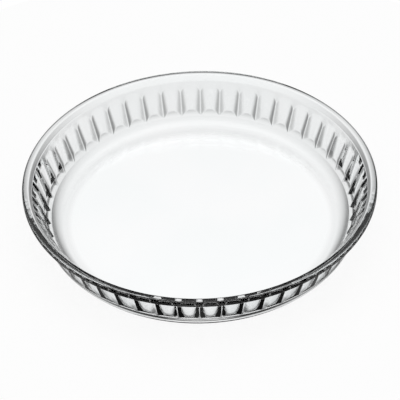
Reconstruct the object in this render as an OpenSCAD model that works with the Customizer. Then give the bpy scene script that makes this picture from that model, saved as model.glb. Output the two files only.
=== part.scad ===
// Round clear-glass tart dish with a fluted inside wall, pressed in one piece.
// Origin: middle of the flat underside. +Z is up. Sizes in mm, angles in degrees.

/* [Overall] */
// Diameter across the rim
rim_d = 270; // [262:1:280]
// Height from the table to the top of the rim
height = 42; // [40:0.5:48]
// Diameter at which the slope of the outside wall would meet the table
foot_d = 236.5; // [230:0.5:240]
// Thickness of the floor
floor_t = 4.8; // [4:0.1:6]

/* [Wall] */
// Glass between the outside wall and the middle of a flute
wall_t = 4.2; // [3.4:0.1:5]
// Radius of the rounding between the wall and the underside
heel_r = 16; // [10:0.5:18]
// Radius of the rounding between the floor and the inside wall, at most what fits below the flutes
inner_heel_r = 9.6; // [6:0.1:12]

/* [Flutes] */
// Number of flutes round the wall
flutes = 48; // [36:4:60]
// How far the ridges between flutes stand in from the flutes at the ledge
ridge_low = 2.7; // [1.6:0.1:3]
// How far they stand in at the height where the flutes meet the mouth
ridge_high = 1.5; // [1:0.1:2.4]
// Tilt of a ridge's flanks from the wall
flank_tilt = 29.5; // [25:0.5:36]
// Width of the narrow land along each ridge
land_w = 0.4; // [0.3:0.1:1.5]
// Height of the ledge's lower edge over the floor, where the inside heel ends
ledge_rise = 6.5; // [5:0.1:8]
// How far the lower ends of the ridges stand back from the heel's top
ridge_back = 0.3; // [0.2:0.1:0.6]
// Slope of the ledge at the lower ends of the flutes, from level
ledge_slope = 42; // [35:1:50]

/* [Rim] */
// How far the rim stands out past the wall under it
overhang = 5.6; // [4.5:0.1:7]
// Height of the rim's outer face, its rounded edges included
face_h = 4; // [3.6:0.1:5]
// Drop of the rim's under side from its outer face to the wall
under_drop = 2.2; // [1.5:0.1:3]
// Width of the level top of the rim, its rounded edges included
lip_w = 5; // [4.5:0.1:7]
// Slope of the widening mouth from level
mouth_slope = 53; // [50:1:60]
// Least angle by which the mouth leans out past the wall, also where the wall leans out far
mouth_past = 10; // [6:1:14]
// Radius of the outer top edge
rim_round = 1.8; // [0.8:0.1:2]
// Radius of the inner top edge
lip_round = 2; // [0.5:0.1:2.4]
// Radius of the lower edge of the outer face
face_round = 1; // [0.4:0.1:1.2]

/* [Hidden] */
glass = [0.82, 0.88, 0.9];
turn_fn = 192;  // sides of a full turn
arc_fn = 96;    // sides of a circle that rounds a corner
past = 1;       // how far the ridges run into the wall behind them and past the mouth
heel_spare = 0.1;  // how far the inside heel's radius stays under the largest that fits

rim_r = rim_d / 2;
foot_r = foot_d / 2;
face_z = height - face_h;
under_z = face_z - under_drop;
wall_top_r = rim_r - overhang;
lean = atan((wall_top_r - foot_r) / under_z);
pitch = 360 / flutes;

// Half section of the room inside: the heel, the ledge, and the wall up to where the mouth cuts it.
flute_start = floor_t + ledge_rise;
lip_r = rim_r - lip_w;
mouth_run = tan(max(90 - mouth_slope, lean + mouth_past));
mouth_z = (panel_r(0) - lip_r + height * mouth_run) / (mouth_run - tan(lean));
crest_run = tan(lean) + (ridge_low - ridge_high) / (mouth_z - flute_start);
floor_end = [crest_r(floor_t) - ridge_back, floor_t];
heel_top = [crest_r(flute_start) - ridge_back, flute_start];
ledge_end = flute_start + (ridge_low + ridge_back) / (1 / tan(ledge_slope) - tan(lean));
heel_limit = ledge_rise / (1 - sin(atan(crest_run)));
heel_fit = min(inner_heel_r, heel_limit - heel_spare);
lip_edge = [lip_r, height];
mouth_low = [lip_r - (height - flute_start) * mouth_run, flute_start];

// Radius of the flutes' middles at height z.
function panel_r(z) = foot_r - wall_t / cos(lean) + z * tan(lean);

// Radius of the ridges' lands at height z.
function crest_r(z) = panel_r(flute_start) - ridge_low + (z - flute_start) * crest_run;

function unit(v) = v / norm(v);

dish();

module dish() {
    color(glass) difference() {
        rotate_extrude($fn = turn_fn) body_outline();
        difference() {
            rotate_extrude($fn = turn_fn) room_outline();
            for (i = [0 : flutes - 1])
                rotate([0, 0, (i + 0.5) * pitch]) ridge();
        }
    }
}

// Half section from the axis out, with the widening mouth but without the room below it.
module body_outline() {
    heel = [foot_r, 0];
    under = [wall_top_r, under_z];
    face_low = [rim_r, face_z];
    face_top = [rim_r, height];
    difference() {
        polygon([[0, 0], heel, under, face_low, face_top, lip_edge, mouth_low, [0, mouth_low[1]]]);
        corner([0, 0], heel, under, heel_r);
        corner(under, face_low, face_top, face_round);
        corner(face_low, face_top, lip_edge, rim_round);
        corner(face_top, lip_edge, mouth_low, lip_round);
    }
}

// Half section of the room inside, before the ridges stand into it: floor, heel, ledge and the flutes' middles.
module room_outline() {
    wall_foot = [panel_r(ledge_end), ledge_end];
    wall_head = [panel_r(height), height];
    difference() {
        polygon([[0, floor_t], floor_end, heel_top, wall_foot, wall_head, [0, height]]);
        corner([0, floor_t], floor_end, heel_top, heel_fit);
    }
}

// One ridge on +X, with its land and two flat flanks, from inside the heel to past the mouth.
module ridge() {
    polyhedron(
        points = concat(ridge_section(floor_t), ridge_section(mouth_z + past)),
        faces = [[0, 1, 2, 3], [7, 6, 5, 4], [0, 4, 5, 1], [1, 5, 6, 2], [2, 6, 7, 3], [3, 7, 4, 0]]);
}

// Section of a ridge at height z: its land, then its wide side inside the wall.
function ridge_section(z) =
    let (crest = crest_r(z), back = panel_r(z) + past, half = land_w / 2 + (back - crest) / tan(flank_tilt))
    [[crest, land_w / 2, z], [crest, -land_w / 2, z], [back, -half, z], [back, half, z]];

// What a rounding of radius r takes off, or fills, at corner p between a and b.
module corner(a, p, b, r) {
    u = unit(a - p);
    v = unit(b - p);
    half = acos(u * v) / 2;
    run = r / tan(half);
    centre = p + unit(u + v) * r / sin(half);
    difference() {
        polygon([p - unit(u + v), p + u * run, p + v * run]);
        translate(centre) circle(r, $fn = arc_fn);
    }
}
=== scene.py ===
"""Round fluted baking dish of clear pressed glass, standing in a plain pale studio."""
import logging
import math
from dataclasses import dataclass, field
from enum import Enum

import bpy
import numpy as np
from mathutils import Matrix, Vector


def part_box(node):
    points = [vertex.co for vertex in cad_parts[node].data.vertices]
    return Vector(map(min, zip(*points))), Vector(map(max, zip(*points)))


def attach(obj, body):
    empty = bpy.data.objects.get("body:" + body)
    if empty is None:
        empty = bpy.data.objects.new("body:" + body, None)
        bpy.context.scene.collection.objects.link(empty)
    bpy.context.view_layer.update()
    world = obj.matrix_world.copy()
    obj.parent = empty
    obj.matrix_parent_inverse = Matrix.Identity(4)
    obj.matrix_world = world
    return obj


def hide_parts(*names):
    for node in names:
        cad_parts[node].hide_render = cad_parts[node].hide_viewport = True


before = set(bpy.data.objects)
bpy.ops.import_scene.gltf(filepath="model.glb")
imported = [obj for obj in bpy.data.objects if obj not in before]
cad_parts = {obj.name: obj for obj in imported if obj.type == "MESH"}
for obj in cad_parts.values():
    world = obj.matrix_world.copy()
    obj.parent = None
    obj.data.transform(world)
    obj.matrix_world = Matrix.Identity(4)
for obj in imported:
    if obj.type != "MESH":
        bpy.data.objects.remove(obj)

LOG = logging.getLogger("dish")
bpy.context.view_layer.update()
MM = 0.001         # metres in a millimetre
WHITE = 1.0        # strength at which a glow looks white to the camera
TINY = 1e-12       # least length that an arrow is divided by
NEAR_HALF = 0.48   # share of a side that an eased turn may take, so that the turns at its two ends stay apart


class Seen(Enum):
    """Kinds of ray that a background can answer to, as the Light Path node names them."""

    CAMERA = "Is Camera Ray"
    GLOSSY = "Is Glossy Ray"
    TRANSMISSION = "Is Transmission Ray"


class Value:
    """A shader socket that takes part in Python sums, each sum adding its Math node."""

    def __init__(self, shade: "Shade", socket: bpy.types.NodeSocket) -> None:
        """Wraps a socket.

        Args:
            shade: The node tree's helper that new nodes are added through.
            socket: The output socket that carries the value.
        """
        self.shade = shade
        self.socket = socket

    def _math(self, operation: str, *values: "Value | float") -> "Value":
        """Adds a Math node.

        Args:
            operation: The Math node's operation.
            values: Its inputs in order.

        Returns:
            The node's result.
        """
        return self.shade.value("ShaderNodeMath", 0, {"operation": operation}, values)

    def __add__(self, other: "Value | float") -> "Value":
        """Adds two values."""
        return self._math("ADD", self, other)

    def __sub__(self, other: "Value | float") -> "Value":
        """Takes the other value off this one."""
        return self._math("SUBTRACT", self, other)

    def __rsub__(self, other: float) -> "Value":
        """Takes this value off a number."""
        return self._math("SUBTRACT", other, self)

    def __mul__(self, other: "Value | float") -> "Value":
        """Multiplies two values."""
        return self._math("MULTIPLY", self, other)

    __radd__ = __add__
    __rmul__ = __mul__

    def over(self, other: "Value | float") -> "Value":
        """The larger of two values."""
        return self._math("MAXIMUM", self, other)

    def under(self, other: "Value | float") -> "Value":
        """The smaller of two values."""
        return self._math("MINIMUM", self, other)

    def cosine(self) -> "Value":
        """The cosine of this angle."""
        return self._math("COSINE", self)

    def turned_from(self, other: "Value") -> "Value":
        """The angle of the arrow that has this value across and the other one ahead."""
        return self._math("ARCTAN2", self, other)

    def between(self, low: float, high: float) -> "Value":
        """Rises smoothly from 0 at low to 1 at high.

        Args:
            low: The value at which the result starts to rise.
            high: The value at which it reaches 1.

        Returns:
            The smooth step.
        """
        return self.shade.value("ShaderNodeMapRange", 0, {"interpolation_type": "SMOOTHSTEP"},
                                {"Value": self, "From Min": low, "From Max": high})


class Shade:
    """Adds nodes to one node tree."""

    def __init__(self, tree: bpy.types.NodeTree) -> None:
        """Clears the tree.

        Args:
            tree: The node tree of a material or the world.
        """
        self.tree = tree
        tree.nodes.clear()

    def node(self, kind: str, settings: dict | None = None, inputs: dict | tuple = ()) -> bpy.types.Node:
        """Adds one node.

        Args:
            kind: The node's type.
            settings: Its properties, which are set first.
            inputs: Values or links of its sockets, by name or in order.

        Returns:
            The new node.
        """
        made = self.tree.nodes.new(kind)
        for name, setting in (settings or {}).items():
            setattr(made, name, setting)
        pairs = inputs.items() if isinstance(inputs, dict) else enumerate(inputs)
        for name, value in pairs:
            socket = made.inputs[name]
            if isinstance(value, Value):
                self.tree.links.new(value.socket, socket)
            elif isinstance(value, bpy.types.NodeSocket):
                self.tree.links.new(value, socket)
            else:
                socket.default_value = value
        return made

    def value(self, kind: str, output: str | int, settings: dict | None = None,
              inputs: dict | tuple = ()) -> Value:
        """Adds one node and takes one of its outputs into sums.

        Args:
            kind: The node's type.
            output: The output's name or place.
            settings: The node's properties.
            inputs: Values or links of its sockets.

        Returns:
            The output as a value.
        """
        return Value(self, self.node(kind, settings, inputs).outputs[output])

    def seen_by(self, *rays: Seen) -> Value:
        """Tells some kinds of ray from the others.

        Args:
            rays: The kinds of ray, one or more.

        Returns:
            One for those kinds of ray, and zero for the others.
        """
        path = self.node("ShaderNodeLightPath")
        total = Value(self, path.outputs[rays[0].value])
        for ray in rays[1:]:
            total = total.over(Value(self, path.outputs[ray.value]))
        return total

    def blended(self, share: Value, first: tuple[float, ...], second: tuple[float, ...]) -> bpy.types.NodeSocket:
        """Mixes two colours.

        Args:
            share: The second colour's share.
            first: The colour at a share of 0.
            second: The colour at a share of 1.

        Returns:
            The mixed colour's socket.
        """
        # A Mix node's colour sockets go by place, because its number and vector sockets have the same names.
        return self.node("ShaderNodeMix", {"data_type": "RGBA"}, {0: share, 6: first, 7: second}).outputs[2]

    def mixed(self, share: Value, first: bpy.types.NodeSocket,
              second: bpy.types.NodeSocket) -> bpy.types.NodeSocket:
        """Mixes two shaders.

        Args:
            share: The second shader's share.
            first: The shader at a share of 0.
            second: The shader at a share of 1.

        Returns:
            The mixed shader's socket.
        """
        return self.node("ShaderNodeMixShader", None, (share, first, second)).outputs[0]

    def surface(self, shader: bpy.types.NodeSocket, kind: str = "ShaderNodeOutputMaterial") -> None:
        """Links a shader to the tree's output.

        Args:
            shader: The shader's socket.
            kind: The output node's type.
        """
        self.node(kind, inputs={"Surface": shader})


@dataclass(frozen=True)
class ClearGlass:
    """Clear pressed glass, fire-polished: faint tint, faint ripple, and a trace of haze from handling.

    Each scale is a noise's own, and the larger it is, the finer the pattern. Each start and full is the noise at
    which its effect sets in and at which it's whole. The ripple's height is in metres.
    """

    tint: tuple[float, float, float, float] = (0.985, 0.992, 0.995, 1.0)
    deep_tint: tuple[float, float, float, float] = (0.965, 0.982, 0.985, 1.0)
    tint_scale: float = 11.0
    tint_start: float = 0.35
    tint_full: float = 0.65
    index: float = 1.47
    haze_low: float = 0.0
    haze_high: float = 0.012
    haze_scale: float = 28.0
    haze_detail: float = 3.0
    haze_start: float = 0.5
    haze_full: float = 0.75
    ripple_scale: float = 55.0
    ripple_detail: float = 1.0
    ripple_height: float = 0.00004
    ripple_strength: float = 0.25

    def material(self, name: str) -> bpy.types.Material:
        """Makes the glass.

        Args:
            name: The material's name.

        Returns:
            The material, with plain transmission and a plain index.
        """
        made = bpy.data.materials.new(name)
        made.use_nodes = True
        shade = Shade(made.node_tree)
        place = shade.node("ShaderNodeTexCoord").outputs["Object"]
        cloud = shade.value("ShaderNodeTexNoise", "Fac", None, {"Vector": place, "Scale": self.tint_scale})
        tint = shade.blended(cloud.between(self.tint_start, self.tint_full), self.tint, self.deep_tint)
        smear = shade.value("ShaderNodeTexNoise", "Fac", None,
                            {"Vector": place, "Scale": self.haze_scale, "Detail": self.haze_detail})
        haze_share = smear.between(self.haze_start, self.haze_full)
        haze = self.haze_low + (self.haze_high - self.haze_low) * haze_share
        ripple = shade.value("ShaderNodeTexNoise", "Fac", None,
                             {"Vector": place, "Scale": self.ripple_scale, "Detail": self.ripple_detail})
        bump = shade.node("ShaderNodeBump", None, {
            "Strength": self.ripple_strength, "Distance": self.ripple_height, "Height": ripple})
        glass = shade.node("ShaderNodeBsdfPrincipled", None, {
            "Base Color": tint, "Roughness": haze, "IOR": self.index, "Transmission Weight": 1.0,
            "Normal": bump.outputs[0]})
        shade.surface(glass.outputs[0])
        return made


def unit(arrows: np.ndarray) -> np.ndarray:
    """Arrows of length one along the given ones."""
    return arrows / np.maximum(np.linalg.norm(arrows, axis=-1, keepdims=True), TINY)


def straight(start: np.ndarray, end: np.ndarray, steps: int) -> np.ndarray:
    """Rows along the straight line from start to end, both ends included.

    Args:
        start: Points as (..., 2), radius and height.
        end: Points of the same form.
        steps: The number of steps.

    Returns:
        Rows as (steps + 1, ..., 2).
    """
    share = np.linspace(0.0, 1.0, steps + 1).reshape(-1, *[1] * start.ndim)
    return start + (end - start) * share


def eased(before: np.ndarray, corner: np.ndarray, after: np.ndarray, reach: float, steps: int) -> np.ndarray:
    """Rows that turn a corner along a parabola, touching both of its straight sides.

    The parabola is the square of (1 - t) times the start, plus 2 t (1 - t) times the corner, plus the square of
    t times the end, where start and end lie at reach from the corner, or nearer on a short side.

    Args:
        before: Points on the side that leads in.
        corner: The sharp corner.
        after: Points on the side that leads out.
        reach: Distance from the corner at which the turn starts and ends.
        steps: The number of steps.

    Returns:
        Rows as (steps + 1, ..., 2).
    """
    back = before - corner
    ahead = after - corner
    room = NEAR_HALF * np.minimum(np.linalg.norm(back, axis=-1), np.linalg.norm(ahead, axis=-1))
    held = np.minimum(reach, room)[..., None]
    start = corner + unit(back) * held
    end = corner + unit(ahead) * held
    t = np.linspace(0.0, 1.0, steps + 1).reshape(-1, *[1] * corner.ndim)
    return (1 - t) ** 2 * start + 2 * t * (1 - t) * corner + t ** 2 * end


def rounded(before: np.ndarray, corner: np.ndarray, after: np.ndarray, radius: float, steps: int) -> np.ndarray:
    """Rows along the arc of a radius that touches both straight sides of a corner.

    Args:
        before: A point on the side that leads in, as (2,).
        corner: The sharp corner.
        after: A point on the side that leads out.
        radius: The arc's radius.
        steps: The number of steps.

    Returns:
        Rows as (steps + 1, 2).
    """
    back, ahead = unit(before - corner), unit(after - corner)
    half = math.acos(float(back @ ahead)) / 2
    middle = corner + unit(back + ahead) * radius / math.sin(half)
    start = corner + back * radius / math.tan(half) - middle
    end = corner + ahead * radius / math.tan(half) - middle
    first = math.atan2(start[1], start[0])
    turn = (math.atan2(end[1], end[0]) - first + math.pi) % (2 * math.pi) - math.pi
    angles = first + turn * np.linspace(0.0, 1.0, steps + 1)
    return middle + radius * np.stack([np.cos(angles), np.sin(angles)], axis=-1)


@dataclass(frozen=True)
class Steps:
    """How finely the dish's profile is cut: the number of steps along each of its stretches.

    Columns is the number of mesh columns to a flute, crowding the power that draws them towards its ridges, and
    meeting the number of rounds in which the wall's two ends are found.
    """

    floor: int = 5
    heel: int = 14
    heel_top: int = 2
    ledge_end: int = 4
    wall: int = 14
    mouth: int = 6
    lip: int = 5
    rim: int = 7
    face: int = 5
    collar: int = 4
    side: int = 4
    columns: int = 20
    crowding: float = 1.5
    meeting: int = 24


@dataclass
class PressedDish:
    """The dish: one piece of glass with a smooth outside, a fluted inside wall and a turned-out rim.

    Lengths are in millimetres. Angles that are given are in degrees, and those worked out from them in radians.
    Radii are from the dish's axis, and heights are from its underside. Each ease is how far from a corner its
    eased turn starts.
    """

    rim_r: float
    height: float
    foot_r: float = 118.25
    floor_t: float = 4.8
    wall_t: float = 4.2
    heel_r: float = 16.0
    inner_heel_r: float = 9.6
    heel_spare: float = 0.1
    flutes: int = 48
    ridge_low: float = 2.7
    ridge_high: float = 1.5
    flank_tilt: float = 29.5
    flank_round: float = 9.0
    crest_round: float = 0.22
    ledge_rise: float = 6.5
    ridge_back: float = 0.3
    ledge_slope: float = 42.0
    overhang: float = 5.6
    face_h: float = 4.0
    under_drop: float = 2.2
    lip_w: float = 5.0
    mouth_slope: float = 53.0
    rim_round: float = 1.8
    lip_round: float = 2.0
    face_round: float = 1.0
    under_round: float = 1.2
    heel_top_ease: float = 0.25
    ledge_end_ease: float = 0.7
    mouth_ease: float = 2.2
    steps: Steps = field(default_factory=Steps)
    finish: ClearGlass = field(default_factory=ClearGlass)

    def __post_init__(self) -> None:
        """Works out what the other sizes fix."""
        self.face_z = self.height - self.face_h
        self.under_z = self.face_z - self.under_drop
        self.wall_top_r = self.rim_r - self.overhang
        self.lean = math.atan((self.wall_top_r - self.foot_r) / self.under_z)
        self.flute_start = self.floor_t + self.ledge_rise
        self.pitch = 2 * math.pi / self.flutes
        self.lip_r = self.rim_r - self.lip_w
        self.mouth_rise = math.tan(math.radians(self.mouth_slope))
        self.mouth_z = ((self.panel(0.0) - self.lip_r + self.height / self.mouth_rise)
                        / (1 / self.mouth_rise - math.tan(self.lean)))
        self.ridge_fall = (self.ridge_low - self.ridge_high) / (self.mouth_z - self.flute_start)

    def panel(self, z: np.ndarray | float) -> np.ndarray | float:
        """Radius of the flutes' flat middles at a height, a wall's thickness inside the outside wall."""
        return self.foot_r - self.wall_t / math.cos(self.lean) + z * math.tan(self.lean)

    def depth(self, z: np.ndarray | float) -> np.ndarray | float:
        """How far the ridges stand in from the flutes at a height, evenly less towards the rim."""
        return self.ridge_low - (z - self.flute_start) * self.ridge_fall

    def crest(self, z: float) -> float:
        """Radius of the ridges' crests at a height."""
        return float(self.panel(z) - self.depth(z))

    def wall(self, angle: np.ndarray, z: np.ndarray) -> np.ndarray:
        """Radius of the inside wall.

        A ridge has two straight flanks that fall from its crest at flank_tilt, and each runs out into the flat
        middle of its flute through an arc of radius flank_round. With x the distance from the line where the
        flank would end, the height over the flat middle is x times the flank's slope on the flank, the radius
        less the root of its square less the square of (x + t) on the arc, where t is the arc's tangent length,
        and nothing beyond it. The crest itself is eased.

        Args:
            angle: Angle round the dish, in radians, with the middle of a flute at zero.
            z: Height.

        Returns:
            The radius at each angle and height.
        """
        tilt = math.radians(self.flank_tilt)
        reach = self.flank_round * math.tan(tilt / 2)
        off = (angle % self.pitch - self.pitch / 2) * (self.panel(z) - self.depth(z))
        aside = np.sqrt(off ** 2 + self.crest_round ** 2) - self.crest_round
        x = self.depth(z) / math.tan(tilt) - aside
        arc = np.clip(x + reach, 0.0, self.flank_round * math.sin(tilt))
        raised = np.where(x > reach * math.cos(tilt), x * math.tan(tilt),
                          self.flank_round - np.sqrt(self.flank_round ** 2 - arc ** 2))
        return self.panel(z) - raised

    def angles(self) -> np.ndarray:
        """Spaces the mesh's columns, crowded towards the ridges.

        With t running evenly from -1 to 1 about a ridge, a column lies at half the pitch times t to the power of
        the crowding, on t's own side of the ridge.

        Returns:
            The columns' angles all the way round, in radians.
        """
        t = np.linspace(-1.0, 1.0, self.steps.columns, endpoint=False)
        one = np.sign(t) * np.abs(t) ** self.steps.crowding * self.pitch / 2
        return (one + (np.arange(self.flutes)[:, None] + 0.5) * self.pitch).ravel()

    def inside(self, angle: np.ndarray) -> np.ndarray:
        """Rows of the inside surface from the floor's middle to the rim's outer face.

        The floor, heel and lip are the same all round. The ledge rises from the heel's top until it meets the
        fluted wall, and the wall runs up until the widening mouth cuts it. Both meetings are found by stepping
        to the height at which the two radii agree.

        Args:
            angle: Angles of the columns.

        Returns:
            Rows as (rows, columns, 2), radius and height.
        """
        rise = math.tan(math.radians(self.ledge_slope))
        top = np.array([self.crest(self.flute_start) - self.ridge_back, self.flute_start])
        foot = np.array([self.crest(self.floor_t) - self.ridge_back, self.floor_t])
        heel = rounded(np.array([0.0, self.floor_t]), foot, top, self.heel_fit(), self.steps.heel)
        low = np.full_like(angle, self.flute_start)
        high = np.full_like(angle, self.mouth_z)
        for _ in range(self.steps.meeting):
            low = self.flute_start + (self.wall(angle, low) - top[0]) * rise
            high = self.height - (self.lip_r - self.wall(angle, high)) * self.mouth_rise
        ledge_end = np.stack([self.wall(angle, low), low], axis=-1)
        wall_end = np.stack([self.wall(angle, high), high], axis=-1)
        spread = np.ones_like(angle)[:, None]
        top_c, heel_c = top * spread, heel[-1] * spread
        lip = np.array([self.lip_r, self.height])
        rim = np.array([self.rim_r, self.height])
        face = np.array([self.rim_r, self.face_z])
        mouth = lip - np.array([1.0, self.mouth_rise])

        share = np.linspace(0.0, 1.0, self.steps.wall + 1)[:, None]
        heights = low + (high - low) * share
        # The two rows at each end of the wall give way to the eased turns there.
        wall = np.stack([self.wall(angle, heights), heights], axis=-1)[2:-2]
        rows = [
            straight(np.array([0.0, self.floor_t]), heel[0], self.steps.floor)[1:-1, None, :] * spread,
            heel[:, None, :] * spread,
            eased(heel_c, top_c, ledge_end, self.heel_top_ease, self.steps.heel_top),
            eased(top_c, ledge_end, wall[0], self.ledge_end_ease, self.steps.ledge_end),
            wall,
            eased(wall[-1], wall_end, lip * spread, self.mouth_ease, self.steps.mouth),
            rounded(mouth, lip, rim, self.lip_round, self.steps.lip)[:, None, :] * spread,
            rounded(lip, rim, face, self.rim_round, self.steps.rim)[:, None, :] * spread,
        ]
        return np.concatenate(rows)

    def outside(self, angle: np.ndarray) -> np.ndarray:
        """Rows of the outside surface from the rim's outer face to the middle of the underside.

        Args:
            angle: Angles of the columns.

        Returns:
            Rows as (rows, columns, 2), radius and height.
        """
        rim = np.array([self.rim_r, self.height])
        face = np.array([self.rim_r, self.face_z])
        under = np.array([self.wall_top_r, self.under_z])
        foot = np.array([self.foot_r, 0.0])
        middle = np.array([0.0, 0.0])
        heel = rounded(under, foot, middle, self.heel_r, self.steps.heel)
        collar = rounded(face, under, foot, self.under_round, self.steps.collar)
        rows = [
            rounded(rim, face, under, self.face_round, self.steps.face),
            collar,
            straight(collar[-1], heel[0], self.steps.side)[1:-1],
            heel,
            straight(heel[-1], middle, self.steps.floor)[1:-1],
        ]
        return np.concatenate(rows)[:, None, :] * np.ones_like(angle)[:, None]

    def heel_fit(self) -> float:
        """Radius of the inside heel, at most what fits under the ledge."""
        slope = math.atan(math.tan(self.lean) + self.ridge_fall)
        return min(self.inner_heel_r, self.ledge_rise / (1 - math.sin(slope)) - self.heel_spare)

    def build(self, name: str) -> bpy.types.Object:
        """Makes the dish's mesh: the inside rows, then the outside rows, and a fan at each middle.

        Args:
            name: The new object's name.

        Returns:
            The finished object, with its place in its mesh.
        """
        angle = self.angles()
        profile = np.concatenate([self.inside(angle), self.outside(angle)])
        rows, cols = profile.shape[:2]
        radius, z = profile[..., 0], profile[..., 1]
        grid = np.stack([radius * np.cos(angle), radius * np.sin(angle), z], axis=-1).reshape(-1, 3)
        points = np.vstack([grid, [[0.0, 0.0, self.floor_t], [0.0, 0.0, 0.0]]]) * MM
        index = np.arange(rows * cols).reshape(rows, cols)
        ahead = np.roll(index, -1, axis=1)
        quads = np.stack([index[:-1], index[1:], ahead[1:], ahead[:-1]], axis=-1).reshape(-1, 4)
        floor = np.full(cols, rows * cols)
        floor_fan = np.stack([floor, index[0], ahead[0]], axis=-1)
        base_fan = np.stack([floor + 1, ahead[-1], index[-1]], axis=-1)
        faces = quads.tolist() + floor_fan.tolist() + base_fan.tolist()
        mesh = bpy.data.meshes.new(name)
        mesh.from_pydata(points.tolist(), [], faces)
        mesh.polygons.foreach_set("use_smooth", np.ones(len(mesh.polygons), dtype=bool))
        mesh.materials.append(self.finish.material("clear_glass"))
        mesh.update()
        made = bpy.data.objects.new(name, mesh)
        bpy.context.scene.collection.objects.link(made)
        return made


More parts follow.
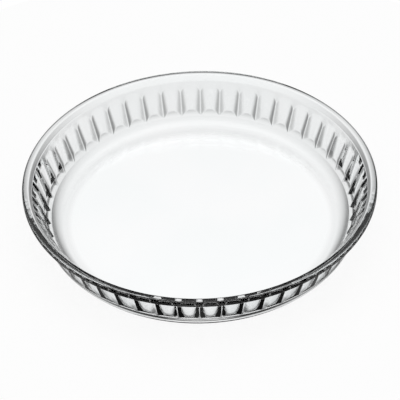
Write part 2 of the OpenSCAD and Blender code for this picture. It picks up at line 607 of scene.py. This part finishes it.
@dataclass(frozen=True)
class Studio:
    """A pale table, a soft sky overhead, surroundings that are dark at table height, and the camera.

    The camera sees the table and all round it as white. The glass sees the table as white under the dish, and past
    the dish it sees a pale field below table height, which is brightest on pale_sides sides and straight down and
    greyer between, so that light turned aside by a ridge or the heel comes out darker. Lengths are in metres,
    angles in degrees, and heights in the surroundings run from -1 straight down to 1 straight up.
    """

    table_r: float = 0.33
    table_sides: int = 128
    table_grey: float = 0.92
    air_gap: float = 0.0002
    camera_glow: float = 0.9
    under_r: float = 0.098
    under_fade: float = 0.104
    sky: float = 1.75
    sky_dark: float = 0.45
    sky_pale: float = 0.95
    ground: float = 0.9
    ground_pale: float = -0.4
    ground_dark: float = 0.0
    steep_share: float = 0.95
    steep_pale: float = -0.7
    steep_dark: float = -0.95
    down_dark: float = -0.975
    down_pale: float = -0.996
    pale_sides: float = 4.0
    side_share: float = 0.66
    side_turn: float = 2.7
    side_dark: float = -0.17
    side_pale: float = 0.97
    distance: float = 1.59
    elevation: float = 41.4
    turn: float = -2.69
    roll: float = -1.37
    aim_z: float = 0.021
    frame_share: float = 0.88
    sensor: float = 36.0

    def world(self) -> None:
        """Makes the surroundings: white where the camera looks, dark at table height, bright above, pale below."""
        made = bpy.data.worlds.new("studio")
        bpy.context.scene.world = made
        made.use_nodes = True
        shade = Shade(made.node_tree)
        place = shade.node("ShaderNodeTexCoord").outputs["Generated"]
        parts = shade.node("ShaderNodeSeparateXYZ", None, (place,)).outputs
        across, ahead, up = (Value(shade, part) for part in parts)
        above = self.sky * up.between(self.sky_dark, self.sky_pale)
        below = 1.0 - up.between(self.ground_pale, self.ground_dark)
        steep = 1.0 - self.steep_share * (1.0 - up.between(self.steep_dark, self.steep_pale))
        down = 1.0 - up.between(self.down_pale, self.down_dark)
        facing = across.turned_from(ahead) - math.radians(self.side_turn)
        round_about = (facing * self.pale_sides).cosine()
        sides = 1.0 - self.side_share * (1.0 - round_about.between(self.side_dark, self.side_pale))
        pure = (1.0, 1.0, 1.0, 1.0)
        light = above + self.ground * below * steep.under(sides).over(down)
        room = shade.node("ShaderNodeBackground", None, {"Color": pure, "Strength": light})
        white = shade.node("ShaderNodeBackground", None, {"Color": pure, "Strength": WHITE})
        both = shade.mixed(shade.seen_by(Seen.CAMERA), room.outputs[0], white.outputs[0])
        shade.surface(both, "ShaderNodeOutputWorld")

    def table(self) -> bpy.types.Object:
        """Makes the table: a round pale top that keeps the shadow, and that the glass looks through past the dish.

        Returns:
            The table's object.
        """
        turn = np.linspace(0.0, 2 * math.pi, self.table_sides, endpoint=False)
        points = np.stack([np.cos(turn), np.sin(turn), np.zeros(self.table_sides)], axis=-1) * self.table_r
        points[:, 2] = -self.air_gap
        mesh = bpy.data.meshes.new("table")
        mesh.from_pydata(points.tolist(), [], [list(range(self.table_sides))])
        made = bpy.data.materials.new("pale_table")
        made.use_nodes = True
        shade = Shade(made.node_tree)
        grey = self.table_grey
        matt = shade.node("ShaderNodeBsdfDiffuse", None, {"Color": (grey, grey, grey, 1.0)}).outputs[0]
        glow = shade.node("ShaderNodeEmission", None, {"Strength": WHITE}).outputs[0]
        clear = shade.node("ShaderNodeBsdfTransparent").outputs[0]
        place = shade.node("ShaderNodeTexCoord").outputs["Object"]
        out = shade.value("ShaderNodeVectorMath", "Value", {"operation": "LENGTH"}, (place,))
        direct = shade.mixed(shade.seen_by(Seen.CAMERA) * self.camera_glow, matt, glow)
        by_glass = shade.mixed(out.between(self.under_r, self.under_fade), glow, clear)
        shade.surface(shade.mixed(shade.seen_by(Seen.GLOSSY, Seen.TRANSMISSION), direct, by_glass))
        mesh.materials.append(made)
        top = bpy.data.objects.new("table", mesh)
        bpy.context.scene.collection.objects.link(top)
        return top

    def camera(self, width: float) -> None:
        """Sets the camera at the photograph's viewing angle, with the dish filling most of the frame.

        Args:
            width: The dish's width.
        """
        lens = bpy.data.cameras.new("camera")
        made = bpy.data.objects.new("camera", lens)
        up, turn = math.radians(self.elevation), math.radians(self.turn)
        back = Vector((math.sin(turn) * math.cos(up), -math.cos(turn) * math.cos(up), math.sin(up)))
        made.location = Vector((0.0, 0.0, self.aim_z)) + back * self.distance
        level = back.to_track_quat("Z", "Y")
        made.rotation_euler = (level @ Matrix.Rotation(math.radians(self.roll), 3, "Z").to_quaternion()).to_euler()
        lens.sensor_width = self.sensor
        lens.lens = self.sensor * self.distance * self.frame_share / width
        bpy.context.scene.collection.objects.link(made)
        bpy.context.scene.camera = made

    def build(self, width: float) -> None:
        """Makes the whole studio.

        Args:
            width: The dish's width, which sets the camera's view.
        """
        self.world()
        self.table()
        self.camera(width)
        bpy.context.scene.view_settings.view_transform = "Standard"


def main() -> None:
    """Builds the dish and the studio, and reports each piece."""
    logging.basicConfig(level=logging.INFO, format="%(message)s")
    low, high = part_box("dish")
    dish = PressedDish(rim_r=(high[0] - low[0]) / 2 / MM, height=high[2] / MM)
    piece = dish.build("pressed_dish")
    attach(piece, "root")
    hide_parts("dish")
    LOG.info("dish: %d points, %d faces", len(piece.data.vertices), len(piece.data.polygons))
    Studio().build(2 * dish.rim_r * MM)


if __name__ == "__main__":
    main()
